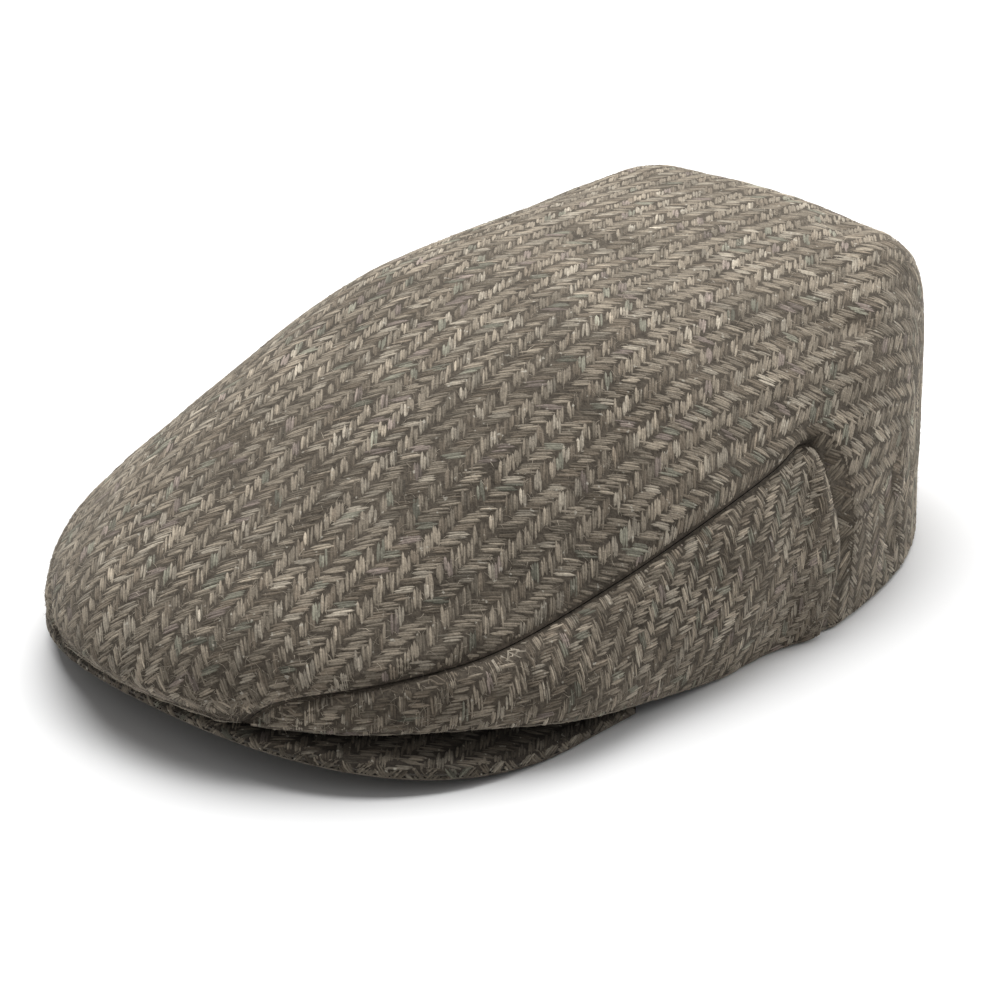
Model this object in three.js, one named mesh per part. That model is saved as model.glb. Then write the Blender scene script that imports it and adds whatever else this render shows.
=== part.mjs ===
// Flat cap in herringbone tweed, in millimetres. The peak faces -Y, +Z is up and the hem rests on z = 0.
// It is one long top panel from the lip to the back hem, two side panels and a stiff peak.
import * as THREE from "three";

// Cloth and seams
const WALL = 2.4;
const SEAM_GAP = 0.5;
const SEAM_ROLL = 1.0;
const SEAM_ROLL_REACH = 3.5;
const SIDE_BULGE = 0.38;

// Half sizes of the head opening, which set which way is outward along the hem
const OPENING = { x: 91, y: 135 };

// Peak
const PEAK_HALF_WIDTH = 87;
const PEAK_FRONT_Y = -135;
const PEAK_SIDE_Y = -60;
const PEAK_SQUARENESS = 2.35;
const PEAK_ARCH = 10;
const PEAK_TIP = { x: 87, y: -36 };
const PEAK_INNER = { halfWidth: 83, frontY: -80, tipY: -36, arch: 13, tipZ: 0.4 };
const PEAK_THICKNESS = 4;
const PEAK_TIP_THICKNESS = 3;
const PEAK_RIM = 3;
const PEAK_EDGE_SHARE = 0.3;
const RIM_PLACES = [0, 0.12, 0.45, 1];
const BODY_PLACES = [0.3, 0.55, 0.8, 1];

// How far the tables' zero lies from the middle of the cap's length
const MIDDLE_Y = -1.344;

// Grid steps along the cap, across the top panel, down a side panel and around the peak
const STEPS_PER_SECTION = 5;
const ACROSS_STEPS = 26;
const DOWN_STEPS = 7;
const PEAK_STEPS = 44;
const TIP_STEPS = 2;

// Steps are closer together by this share at the top panel's seams, and further apart at a side panel's foot
const SEAM_CROWDING = 0.275;
const FOOT_SPREAD = 0.4;

// A side panel's pointed ends stop this share of a step short, at this share of the wall
const SIDE_END_TRIM = 0.55;
const SIDE_END_WALL = 0.2;

// One row for each section of the crown, from the lip at the front to the hem at the back.
// Each runs from the top point on the middle line to the seam and down to the foot on the lip or hem.
// full is how square the section is, and wrap is how far around it goes (1 ends square to its top).
// lean is how steeply the side panel leaves the seam, in degrees.
// turn is how far it turns in at its foot, in degrees.
// ahead is how far it heads forward as it leaves, for the rows that start on the back seam.
const COLUMNS = [
  "topY", "topZ", "seamX", "seamY", "seamZ", "full", "wrap",
  "footX", "footY", "footZ", "lean", "turn", "ahead",
];
const SECTIONS = [
  [-136, 14.3, 36, -131, 14, 2.0, 0.4, 36, -131, 14, 20, 40, -1.0],
  [-139.5, 21.5, 46, -124.5, 22, 2.2, 0.4, 61, -111, 13, 22, 45, -1.1],
  [-127, 36, 63, -106, 26.5, 2.3, 0.4, 79, -84, 11, 28, 40, -0.9],
  [-95, 52, 77, -78, 31, 2.4, 0.4, 90, -60, 8.5, 36, 32, -0.5],
  [-50, 71, 82, -38, 38, 2.8, 0.5, 90.5, -30, 3.8, 48, 25, -0.2],
  [-1, 85.5, 84, 0, 46, 3.0, 0.6, 90, -6, 0.5, 58, 20, 0],
  [48, 88, 82, 27, 50, 3.0, 0.7, 89, 8, 0, 64, 15, 0],
  [87, 86.5, 80, 38, 52.5, 2.9, 0.85, 89, 15, 0, 68, 15, 0.25],
  [117, 83, 82.5, 42, 51, 2.9, 0.95, 89.5, 20, 0, 72, 15, 0.7],
  [136, 66, 87, 43, 42, 2.6, 0.96, 90.5, 24, 0, 76, 15, 1.0],
  [135, 32, 91.5, 43, 22, 2.3, 0.96, 91.5, 28, 0, 78, 15, 0.9],
  [132, 0, 92, 33, 0, 2.5, 0.98, 92, 33, 0, 80, 15, 0.6],
];

// Puffs (lift above zero) and dents (below zero) of the top panel.
// section and across place the middle, and long and wide are half sizes in mm.
// turn is from the front-back line, in degrees.
const FOLD_COLUMNS = ["section", "across", "long", "wide", "turn", "lift"];
const FOLDS = [
  [8.4, 0.55, 24, 18, 40, 3.0],
  [8.4, -0.55, 24, 18, -40, 3.0],
  [7.85, 0.38, 16, 9, 60, -2.0],
  [7.35, 0.8, 9, 6, 0, -1.5],
  [5.9, 0.2, 12, 32, 10, -1.1],
  [4.4, -0.35, 30, 14, 20, -0.8],
  [9.8, 0.9, 20, 4, -25, 1.8],
  [10.5, 0.9, 11, 8, -30, -2.6],
];

function row(table, columns, place) {
  const last = table.length - 1;
  const i = Math.min(Math.floor(place), last - 1);
  const f = place - i;
  const out = {};
  columns.forEach((name, c) => {
    const p1 = table[i][c];
    const p2 = table[i + 1][c];
    const p0 = i > 0 ? table[i - 1][c] : 2 * p1 - p2;
    const p3 = i < last - 1 ? table[i + 2][c] : 2 * p2 - p1;
    const bend = 2 * p0 - 5 * p1 + 4 * p2 - p3;
    const twist = 3 * p1 - p0 - 3 * p2 + p3;
    out[name] = 0.5 * (2 * p1 + (p2 - p0) * f + bend * f * f + twist * f * f * f);
  });
  return out;
}

const LAST = SECTIONS.length - 1;

function sectionPoints(s) {
  const r = row(SECTIONS, COLUMNS, s);
  return {
    top: new THREE.Vector3(0, r.topY, r.topZ),
    seam: new THREE.Vector3(r.seamX, r.seamY, r.seamZ),
    foot: new THREE.Vector3(r.footX, r.footY, Math.max(0, r.footZ)),
    full: r.full,
    wrap: r.wrap,
    lean: THREE.MathUtils.degToRad(r.lean),
    turn: THREE.MathUtils.degToRad(r.turn),
    ahead: r.ahead,
  };
}

// Part of a squarish arc: 0 at the middle line and 1 at the seam
function arcDrop(v, full, wrap) {
  const fall = (t) => 1 - (1 - Math.abs(t) ** full) ** (1 / full);
  return fall(v * wrap) / fall(wrap);
}

// The top panel: v runs from -1 at the right seam to 1 at the left one
function topPoint(s, v) {
  const { top, seam, full, wrap } = sectionPoints(s);
  const out = top.clone().lerp(seam, arcDrop(v, full, wrap));
  out.x = seam.x * v;
  return out;
}

// The left side panel: w runs from 0 at the seam to 1 at the foot
function sidePoint(s, w) {
  const { seam, foot, lean, turn, ahead } = sectionPoints(s);
  const reach = SIDE_BULGE * foot.distanceTo(seam);
  const outward = new THREE.Vector3(foot.x / OPENING.x ** 2, foot.y / OPENING.y ** 2, 0).normalize();
  const leave = outward.clone().multiplyScalar(Math.cos(lean)).setZ(-Math.sin(lean));
  leave.y -= ahead;
  leave.normalize();
  const arrive = outward.clone().multiplyScalar(-Math.sin(turn)).setZ(-Math.cos(turn));
  const a = seam.clone().addScaledVector(leave, reach);
  const b = foot.clone().addScaledVector(arrive, -reach);
  return new THREE.CubicBezierCurve3(seam, a, b, foot).getPoint(w);
}

function normalOf(point, s, t, tLow, tHigh) {
  const step = 0.01;
  const s0 = Math.max(0, s - step);
  const s1 = Math.min(LAST, s + step);
  const t0 = Math.max(tLow, t - step);
  const t1 = Math.min(tHigh, t + step);
  const along = point(s1, t).sub(point(s0, t));
  const across = point(s, t1).sub(point(s, t0));
  return across.cross(along).normalize();
}

const topNormal = (s, v) => normalOf(topPoint, s, v, -1, 1);
const sideNormal = (s, w) => normalOf(sidePoint, s, w, 0, 1);

// Both panels share this direction along their seam, so their edges stay side by side.
// It is averaged over a stretch of the seam, because the seam turns sharply at its back corner.
function seamNormal(s) {
  const steps = 4;
  const stretch = 0.48;
  const clearOfEnds = 0.1;
  const out = new THREE.Vector3();
  for (let k = -steps; k <= steps; k++) {
    const near = THREE.MathUtils.clamp(s + (stretch * k) / steps, clearOfEnds, LAST - clearOfEnds);
    out.add(topNormal(near, 1)).add(sideNormal(near, 0.02));
  }
  return out.normalize();
}

function foldLift(s, v) {
  let lift = 0;
  const here = topPoint(s, v);
  for (const values of FOLDS) {
    const fold = Object.fromEntries(FOLD_COLUMNS.map((name, c) => [name, values[c]]));
    const middle = topPoint(fold.section, fold.across);
    const ahead = topPoint(Math.min(LAST, fold.section + 0.05), fold.across).sub(middle).normalize();
    const beside = topNormal(fold.section, fold.across).cross(ahead);
    const away = here.clone().sub(middle);
    const angle = THREE.MathUtils.degToRad(fold.turn);
    const y = away.dot(ahead);
    const x = away.dot(beside);
    const along = (y * Math.cos(angle) + x * Math.sin(angle)) / fold.long;
    const across = (x * Math.cos(angle) - y * Math.sin(angle)) / fold.wide;
    const depth = away.dot(topNormal(fold.section, fold.across)) / (fold.long + fold.wide);
    lift += fold.lift * Math.exp(-2 * (along * along + across * across + depth * depth));
  }
  return lift;
}

// Averaging the offset directions keeps the inside face from crossing itself where the cloth turns sharply
function smoothDirections(field, rounds) {
  let now = field;
  for (let k = 0; k < rounds; k++) {
    now = now.map((line, i) => line.map((n, j) => {
      const sum = n.clone().multiplyScalar(2);
      [[i - 1, j], [i + 1, j], [i, j - 1], [i, j + 1]].forEach(([a, b]) => {
        if (now[a] && now[a][b]) sum.add(now[a][b]);
      });
      return sum.normalize();
    }));
  }
  return now;
}

function flattened(n) {
  return new THREE.Vector3(n.x, n.y, 0).normalize();
}

// Closes two matching grids of points, one outside and one inside, into a solid
function closedSheet(outer, inner) {
  const rows = outer.length;
  const cols = outer[0].length;
  const count = rows * cols;
  const positions = [];
  [...outer, ...inner].forEach((line) => line.forEach((p) => positions.push(p.x, p.y, p.z)));
  const index = [];
  const quad = (a, b, c, d) => index.push(a, b, c, a, c, d);
  for (let i = 0; i < rows - 1; i++) {
    for (let j = 0; j < cols - 1; j++) {
      const a = i * cols + j;
      const b = a + 1;
      const d = a + cols;
      const c = d + 1;
      quad(a, b, c, d);
      quad(count + a, count + d, count + c, count + b);
    }
  }
  const rim = [];
  for (let j = 0; j < cols - 1; j++) rim.push(j);
  for (let i = 0; i < rows - 1; i++) rim.push(i * cols + cols - 1);
  for (let j = cols - 1; j > 0; j--) rim.push((rows - 1) * cols + j);
  for (let i = rows - 1; i > 0; i--) rim.push(i * cols);
  rim.forEach((a, k) => {
    const b = rim[(k + 1) % rim.length];
    quad(b, a, count + a, count + b);
  });
  const geometry = new THREE.BufferGeometry();
  geometry.setAttribute("position", new THREE.Float32BufferAttribute(positions, 3));
  geometry.setIndex(index);
  return geometry;
}

function pullBack(grid, edge, neighbour) {
  grid.forEach((line) => {
    const step = line[neighbour].clone().sub(line[edge]).normalize();
    line[edge].addScaledVector(step, SEAM_GAP / 2);
  });
}

const STATIONS = [];
for (let k = 0; k <= LAST * STEPS_PER_SECTION; k++) STATIONS.push(k / STEPS_PER_SECTION);

const ACROSS = [];
for (let k = 0; k <= ACROSS_STEPS; k++) {
  const even = (2 * k) / ACROSS_STEPS - 1;
  ACROSS.push(even * (1 + SEAM_CROWDING * (1 - even * even)));
}

function topPanel() {
  const points = STATIONS.map((s) => ACROSS.map((v) => topPoint(s, v)));
  const directions = smoothDirections(STATIONS.map((s) => ACROSS.map((v) => topNormal(s, v))), 4);
  const last = ACROSS.length - 1;
  STATIONS.forEach((s, i) => {
    const n = seamNormal(s);
    directions[i][last] = n;
    directions[i][0] = new THREE.Vector3(-n.x, n.y, n.z);
  });
  directions[0] = directions[0].map(flattened);
  directions[STATIONS.length - 1] = directions[STATIONS.length - 1].map(flattened);
  const outer = points.map((line, i) => line.map((p, j) => {
    const away = Math.min(p.distanceTo(line[0]), p.distanceTo(line[last])) / SEAM_ROLL_REACH;
    const lift = foldLift(STATIONS[i], ACROSS[j]) * (1 - Math.exp(-away * away));
    return p.clone().addScaledVector(directions[i][j], lift - SEAM_ROLL * Math.exp(-away));
  }));
  const inner = outer.map((line, i) => {
    return line.map((p, j) => p.clone().addScaledVector(directions[i][j], -WALL));
  });
  [outer, inner].forEach((grid) => {
    pullBack(grid, 0, 1);
    pullBack(grid, last, last - 1);
  });
  return closedSheet(outer, inner);
}

function sidePanel() {
  const ends = [SIDE_END_TRIM / STEPS_PER_SECTION, LAST - SIDE_END_TRIM / STEPS_PER_SECTION];
  const stations = [ends[0], ...STATIONS.slice(1, -1), ends[1]];
  const downs = [];
  for (let k = 0; k <= DOWN_STEPS; k++) {
    const even = k / DOWN_STEPS;
    downs.push(even * (1 - FOOT_SPREAD + FOOT_SPREAD * even));
  }
  const points = stations.map((s) => downs.map((w) => sidePoint(s, w)));
  const directions = smoothDirections(stations.map((s) => downs.map((w) => sideNormal(s, w))), 4);
  stations.forEach((s, i) => {
    directions[i][0] = seamNormal(s);
    directions[i][DOWN_STEPS] = flattened(directions[i][DOWN_STEPS]);
  });
  const outer = points.map((line, i) => line.map((p, j) => {
    const away = p.distanceTo(line[0]) / SEAM_ROLL_REACH;
    return p.clone().addScaledVector(directions[i][j], -SEAM_ROLL * Math.exp(-away));
  }));
  const inner = outer.map((line, i) => {
    const fromEnd = Math.min(i, stations.length - 1 - i) / 2;
    const wall = WALL * THREE.MathUtils.lerp(SIDE_END_WALL, 1, Math.min(1, fromEnd));
    return line.map((p, j) => p.clone().addScaledVector(directions[i][j], -wall));
  });
  [outer, inner].forEach((grid) => pullBack(grid, 0, 1));
  return closedSheet(outer, inner);
}

function mirrored(geometry) {
  const out = geometry.clone();
  out.scale(-1, 1, 1);
  const index = out.getIndex().array;
  for (let k = 0; k < index.length; k += 3) {
    const keep = index[k];
    index[k] = index[k + 1];
    index[k + 1] = keep;
  }
  return out;
}

// The peak's outer edge: a squarish arc, then a short straight run back to each tip
function peakOuter(q) {
  const side = Math.sign(q);
  const runShare = TIP_STEPS / (PEAK_STEPS / 2 + TIP_STEPS);
  const arcShare = 1 - runShare;
  const arc = Math.min(1, Math.abs(q) / arcShare);
  const angle = arc * Math.PI / 2;
  const power = 2 / PEAK_SQUARENESS;
  const x = PEAK_HALF_WIDTH * Math.sin(angle) ** power;
  const y = PEAK_SIDE_Y + (PEAK_FRONT_Y - PEAK_SIDE_Y) * Math.max(0, Math.cos(angle)) ** power;
  const z = PEAK_ARCH * (1 - (x / PEAK_HALF_WIDTH) ** 2);
  const run = Math.max(0, (Math.abs(q) - arcShare) / runShare);
  const tip = new THREE.Vector3(PEAK_TIP.x, PEAK_TIP.y, 0);
  const out = new THREE.Vector3(x, y, z).lerp(tip, run);
  out.x *= side;
  return out;
}

function peakInner(q) {
  const angle = q * Math.PI / 2;
  const x = PEAK_INNER.halfWidth * Math.sin(angle);
  const y = PEAK_INNER.tipY + (PEAK_INNER.frontY - PEAK_INNER.tipY) * Math.cos(angle);
  const z = PEAK_INNER.tipZ + PEAK_INNER.arch * Math.cos(angle) ** 2;
  return new THREE.Vector3(x, y, z);
}

function peak() {
  const half = PEAK_STEPS / 2 + TIP_STEPS;
  const upper = [];
  const lower = [];
  for (let k = half; k >= -half; k--) {
    const q = k / half;
    const a = peakOuter(q);
    const b = peakInner(q);
    const length = a.distanceTo(b);
    const thick = THREE.MathUtils.lerp(PEAK_THICKNESS, PEAK_TIP_THICKNESS, Math.abs(q) ** 6);
    const rim = Math.min(PEAK_RIM, length / 4);
    const places = RIM_PLACES.map((f) => (f * rim) / length);
    const top = [];
    const bottom = [];
    [...places, ...BODY_PLACES].forEach((t) => {
      const middle = a.clone().lerp(b, t);
      const inFromRim = Math.min(1, (t * length) / rim);
      const round = Math.sqrt(1 - (1 - inFromRim) ** 2);
      const share = THREE.MathUtils.lerp(PEAK_EDGE_SHARE, 1, round);
      middle.z += thick / 2;
      top.push(middle.clone().setZ(middle.z + (share * thick) / 2));
      bottom.push(middle.clone().setZ(middle.z - (share * thick) / 2));
    });
    upper.push(top);
    lower.push(bottom);
  }
  return closedSheet(upper, lower);
}

function named(name, geometry, colour, roughness) {
  const material = new THREE.MeshStandardMaterial({ color: colour, roughness, metalness: 0 });
  const mesh = new THREE.Mesh(geometry.translate(0, -MIDDLE_Y, 0), material);
  mesh.name = name;
  return mesh;
}

const TWEED = "#716a5f";
const SHADED_TWEED = "#655e54";
const left = sidePanel();

const cap = new THREE.Group();
cap.name = "flat_cap";
cap.add(named("top_panel", topPanel(), TWEED, 0.95));
cap.add(named("side_panel_right", mirrored(left), TWEED, 0.95));
cap.add(named("side_panel_left", left, TWEED, 0.95));
cap.add(named("peak", peak(), SHADED_TWEED, 0.95));

export default cap;
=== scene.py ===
"""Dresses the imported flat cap: tweed panels with raised herringbone yarns, a covered peak and a floor."""

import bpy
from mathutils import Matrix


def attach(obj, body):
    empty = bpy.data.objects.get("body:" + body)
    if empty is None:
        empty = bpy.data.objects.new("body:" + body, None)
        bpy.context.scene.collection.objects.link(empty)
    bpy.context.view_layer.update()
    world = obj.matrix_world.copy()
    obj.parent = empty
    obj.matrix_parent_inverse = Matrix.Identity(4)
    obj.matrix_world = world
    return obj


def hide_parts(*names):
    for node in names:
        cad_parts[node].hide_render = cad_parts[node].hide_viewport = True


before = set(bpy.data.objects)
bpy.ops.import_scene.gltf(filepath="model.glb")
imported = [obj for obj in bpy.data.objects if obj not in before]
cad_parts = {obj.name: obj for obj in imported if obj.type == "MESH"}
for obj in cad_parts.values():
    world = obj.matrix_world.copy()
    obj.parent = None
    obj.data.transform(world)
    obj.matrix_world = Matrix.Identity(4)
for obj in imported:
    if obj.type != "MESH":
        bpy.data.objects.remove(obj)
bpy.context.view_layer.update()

import copy
import math

import bpy
import numpy as np
from mathutils import Matrix, Vector
from mathutils.bvhtree import BVHTree

MM = 0.001
RNG = np.random.default_rng(11)
LATTICE_SIZE = 64
LATTICE = np.random.default_rng(5).uniform(-1, 1, (LATTICE_SIZE, LATTICE_SIZE))

# Crown in millimetres, as in the solids
WALL = 2.4
SIDE_BULGE = 0.38
OPENING_X = 91.0
OPENING_Y = 135.0
MIDDLE_Y = -1.344
SEAM_CROWDING = 0.275

# Seams: the gap, the rolled edges, the low ridge beside them, and how far folds and yarns keep away
SEAM_GAP = 0.3
SEAM_ROLL = 2.4
SEAM_ROLL_REACH = 2.4
SEAM_RIDGE = 0.4
SEAM_RIDGE_AT = 6.0
SEAM_RIDGE_WIDTH = 3.0
CLEAR_OF_SEAM = 3.5
SEAM_CLEARANCE = 0.8

# The seam down the back has a deeper groove. Places are in sections
BACK_SEAM_FROM = 7.0
BACK_SEAM_BLEND = 0.6
BACK_SEAM_END = 0.8
BACK_SEAM_GAIN = 0.8

# Folds of the top panel and the rounded lip and hem
FOLD_GAIN = 1.25
FOLD_END = 0.4
HEM_BLEND = 6.0
FOLD_ANGLES = np.radians([30, 60, 90, 120, 150])
WOVEN_RINGS = 4

# Side panel: its first section, and how its relief and wall fade where it is low or ends
SIDE_FIRST = 0.11
SIDE_EASING = 3.2
SIDE_FULL_HEIGHT = 14.0
SIDE_LEAST_RELIEF = 0.3
SIDE_SOFT_REACH = 8.0
SIDE_FOOT_FADE = 4.0
SIDE_THIN_SHARE = 0.04
SIDE_THINNEST = 0.2

# Layers of smooth noise. Columns: strength, scale and start along, scale and start across
TOP_UNEVEN = [(0.45, 1.2, 3, 3.1, 9), (0.16, 3.3, 0, 8.2, 4)]
SIDE_UNEVEN = [(0.3, 1.7, 20, 1.3, 2)]
FELT_CLOUDS = [(0.5, 1 / 13, 40, 1 / 13, 11), (0.35, 1 / 5, 0, 1 / 5, 50)]
TINT_CLOUDS = [(0.18, 1 / 17, 7, 1 / 17, 0), (0.22, 1 / 6.5, 0, 1 / 6.5, 30)]

# Columns: topY, topZ, seamX, seamY, seamZ, full, wrap, footX, footY, footZ, lean, turn, ahead
SECTIONS = np.array([
    [-136, 14.3, 36, -131, 14, 2.0, 0.4, 36, -131, 14, 20, 40, -1.0],
    [-139.5, 21.5, 46, -124.5, 22, 2.2, 0.4, 61, -111, 13, 22, 45, -1.1],
    [-127, 36, 63, -106, 26.5, 2.3, 0.4, 79, -84, 11, 28, 40, -0.9],
    [-95, 52, 77, -78, 31, 2.4, 0.4, 90, -60, 8.5, 36, 32, -0.5],
    [-50, 71, 82, -38, 38, 2.8, 0.5, 90.5, -30, 3.8, 48, 25, -0.2],
    [-1, 85.5, 84, 0, 46, 3.0, 0.6, 90, -6, 0.5, 58, 20, 0],
    [48, 88, 82, 27, 50, 3.0, 0.7, 89, 8, 0, 64, 15, 0],
    [87, 86.5, 80, 38, 52.5, 2.9, 0.85, 89, 15, 0, 68, 15, 0.25],
    [117, 83, 82.5, 42, 51, 2.9, 0.95, 89.5, 20, 0, 72, 15, 0.7],
    [136, 66, 87, 43, 42, 2.6, 0.96, 90.5, 24, 0, 76, 15, 1.0],
    [135, 32, 91.5, 43, 22, 2.3, 0.96, 91.5, 28, 0, 78, 15, 0.9],
    [132, 0, 92, 33, 0, 2.5, 0.98, 92, 33, 0, 80, 15, 0.6],
], float)
LAST = len(SECTIONS) - 1
ROWS_PER_SECTION = 15
ROWS = ROWS_PER_SECTION * LAST + 1
TOP_COLS = 97
SIDE_COLS = 29

# The panels' directions are worked out on coarse grids and smoothed
COARSE_ROWS = 5 * LAST + 1
TOP_COARSE_COLS = 27
SIDE_COARSE_COLS = 9
SMOOTHING = 4
SEAM_STRETCH = np.linspace(-0.48, 0.48, 9)
SEAM_END = 0.1
BELOW_SEAM = 0.02

# Puffs and dents of the top panel. Columns: section, across, long, wide, turn, lift
FOLDS = [
    (8.4, 0.55, 24, 18, 40, 3.0),
    (8.4, -0.55, 24, 18, -40, 3.0),
    (7.85, 0.38, 16, 9, 60, -2.0),
    (7.35, 0.8, 9, 6, 0, -1.5),
    (5.9, 0.2, 12, 32, 10, -1.1),
    (4.4, -0.35, 30, 14, 20, -0.8),
    (9.8, 0.9, 20, 4, -25, 1.8),
    (10.5, 0.9, 11, 8, -30, -2.6),
]

# Peak
PEAK_HALF_WIDTH = 87.0
PEAK_FRONT_Y = -135.0
PEAK_SIDE_Y = -60.0
PEAK_SQUARENESS = 2.25
PEAK_SKEW = 0.045
PEAK_ARCH = 10.0
PEAK_TIP = np.array([87.0, -36.0, 0.0])
PEAK_INNER_HALF_WIDTH = 83.0
PEAK_INNER_FRONT_Y = -80.0
PEAK_INNER_TIP_Y = -36.0
PEAK_INNER_ARCH = 13.0
PEAK_INNER_TIP_Z = 0.4
PEAK_THICKNESS = 4.0
PEAK_TIP_THICKNESS = 3.0
PEAK_THINNING = 6
PEAK_RIM = 3.0
PEAK_RIM_SHARE = 1 / 4
PEAK_RIM_PLACES = np.array([0, 0.04, 0.12, 0.25, 0.45, 0.7, 1])
PEAK_FACE_PLACES = np.linspace(0.06, 1, 14)
PEAK_EDGE_SHARE = 0.3
PEAK_RUN_SHARE = 2 / 24
PEAK_STEPS = 181

# Herringbone: column width, distance between yarns along a column, and rise over run
COLUMN = 4.4
PITCH = 3.05
SLOPE = 1.12
COLUMN_SLIP = 0.8
SLIP_LINE = 7

# Where the yarns lie on the flat cloth: across and along, in millimetres
WALL_RANGES = ((-170, 170), (250, 410))
SIDE_RANGES = ((-50, 150), (-10, 190))
SIDE_TURN = -45
SIDE_WEAVE = 0.82
PEAK_RANGES = ((-90, 90), (-140, -34))
PEAK_DROP_FROM = 0.2
PEAK_LEAST_UP = 0.6
TRIM_TESTS = np.linspace(-1, 1, 9)

# Strands that make up one yarn and the gap beside it. Columns: place across, width, height, tone
STRANDS = np.array([
    [-0.66, 1.06, 0.30, 0.98],
    [0.02, 1.00, 0.26, 0.90],
    # The low strand in the gap is darker: partly the cloth's own darker yarn, partly painted shade in the gap
    [0.70, 0.94, 0.17, 0.76],
])
STRAND_STATIONS = np.array([-1, -0.6, 0, 0.6, 1])
STRAND_RISE = np.array([-0.3, 0.8, 1, 0.8, -0.3])
STRAND_SPREAD = np.array([0.55, 0.95, 1, 0.95, 0.55])
STRAND_ACROSS = np.array([-0.5, 0, 0.5])
STRAND_ROUND = np.array([-0.15, 1, -0.15])
LOWEST_STRAND = 0.02
LOW_STRAND = 0.2
CUT_RISE = 0.5
CUT_SPREAD = 0.95

# How far yarns and strands stray, in millimetres or as a share
YARN_WANDER = 0.30
STRAND_SHIFT = 0.65
STRAND_ASIDE = 0.11
SLOPE_RANGE = (0.88, 1.12)
LENGTH_RANGE = (0.74, 1.22)
WIDTH_RANGE = (0.82, 1.14)
HEIGHT_RANGE = (0.7, 1.25)
STREAK_RANGE = (0, 900)

# Yarn tones in linear light: share of the yarns and colour
TONES = [
    (0.58, (0.296, 0.251, 0.194)),
    (0.20, (0.200, 0.164, 0.124)),
    (0.13, (0.370, 0.324, 0.258)),
    (0.05, (0.240, 0.230, 0.180)),
    (0.03, (0.272, 0.222, 0.190)),
]
TINT_SPREAD = 0.10
TINT_RANGE = (0.45, 1.7)
MEAN_TONE = 0.86
TONE_LOG_MEAN = -0.04
TONE_LOG_SPREAD = 0.27
# Painted shade: a strand's colour falls from its crown to EDGE_SHADE of its tint at its flanks and ends, as
# if shaded by its neighbours
SHADE_FROM = 0.35
SHADE_POWER = 0.8
EDGE_SHADE = 0.3

# Felting hides the weave: it lowers the strands, evens their tones and lightens the painted shade at their
# edges
FELT_BASE = 0.34
FELT_MOST = 0.88
FELT_LOWERS = 0.45
FELT_EVENS = 0.75
FELT_LIGHTENS = 0.4

# Where the top of the crown is worn smooth, in millimetres from the lip over the middle
WORN = 0.42
WORN_AT = 265.0
WORN_REACH = 55.0

# Where the weave of the top gives way to that of the back wall, which comes later near the seams
BACK_EDGE_SECTION = 8.9
BACK_EDGE_FROM = 0.6
BACK_EDGE_POWER = 1.5
WALL_FIRST_ROW = int(ROWS_PER_SECTION * BACK_EDGE_SECTION)

# Straight grain of the top panel, and rounds that lay the other panels flat
GRAIN_STEP = 0.5
GRAIN_STEPS = 300
GRAIN_SAMPLES = 900
FULL_ROOM = 0.8
WALL_RELAXING = 400
SIDE_RELAXING = 500

# Loose fibres
TOP_FIBRES = 6000
TOP_FIBRE_PLACES = ((0.05, LAST - 0.05), (-0.98, 0.98))
SIDE_FIBRES = 800
SIDE_FIBRE_PLACES = ((0.3, LAST - 0.3), (0.03, 0.97))
FUZZ_STATIONS = 4
FUZZ_LENGTH = (1.0, 3.0)
FUZZ_HEIGHT = 0.38
FUZZ_WIDTH = 0.11
FUZZ_TAPER = 0.6
FUZZ_BEND = 0.45
FUZZ_LIFT = 0.2
FUZZ_MOST_LIFT = 1.1
FUZZ_ARC_START = 0.1
FUZZ_ARC = 0.8
FUZZ_COLOUR = (0.29, 0.25, 0.197)
FUZZ_TONE_SPREAD = 0.25
FUZZ_STREAK = 40
ANY_DIRECTION = (0.31, 0.52, 0.80)

# Boxes of a cloth wall on its flat map, and the part of a strip's square that it fills
MAP_LOW = 0.005
MAP_HIGH = 0.995
MAP_OUTER_TOP = 0.60
MAP_EDGES = 0.605
MAP_EDGE_STEP = 0.0125
MAP_EDGE_HEIGHT = 0.01
MAP_INNER = 0.66
MAP_SQUARE = (0.06, 0.94)

# Band that most of a noise lies in
NOISE_BAND = (0.3, 0.7)


def along_table(table, place):
    """Smooth curve through a table's rows at fractional row numbers."""
    padded = np.vstack([2 * table[:1] - table[1:2], table, 2 * table[-1:] - table[-2:-1]])
    i = np.clip(np.floor(place).astype(int), 0, len(table) - 2)
    f = (place - i)[..., None]
    p0, p1, p2, p3 = (padded[i + k] for k in range(4))
    bend = 2 * p0 - 5 * p1 + 4 * p2 - p3
    twist = 3 * p1 - p0 - 3 * p2 + p3
    return 0.5 * (2 * p1 + (p2 - p0) * f + bend * f**2 + twist * f**3)


def unit(v):
    return v / np.maximum(np.linalg.norm(v, axis=-1, keepdims=True), 1e-9)


def arc_drop(v, full, wrap):
    """Part of a squarish arc: 0 at the middle line and 1 at the seam."""
    def fall(t):
        return 1 - np.maximum(0, 1 - np.abs(t) ** full) ** (1 / full)
    return fall(v * wrap) / fall(wrap)


def top_point(s, v):
    """The top panel: s runs over the sections and v from -1 at the right seam to 1 at the left one."""
    r = along_table(SECTIONS, s)
    top_y, top_z, seam_x, seam_y, seam_z, full, wrap = (r[..., c] for c in range(7))
    k = arc_drop(v, full, wrap)
    return np.stack([seam_x * v, top_y + (seam_y - top_y) * k - MIDDLE_Y, top_z + (seam_z - top_z) * k], -1)


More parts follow.
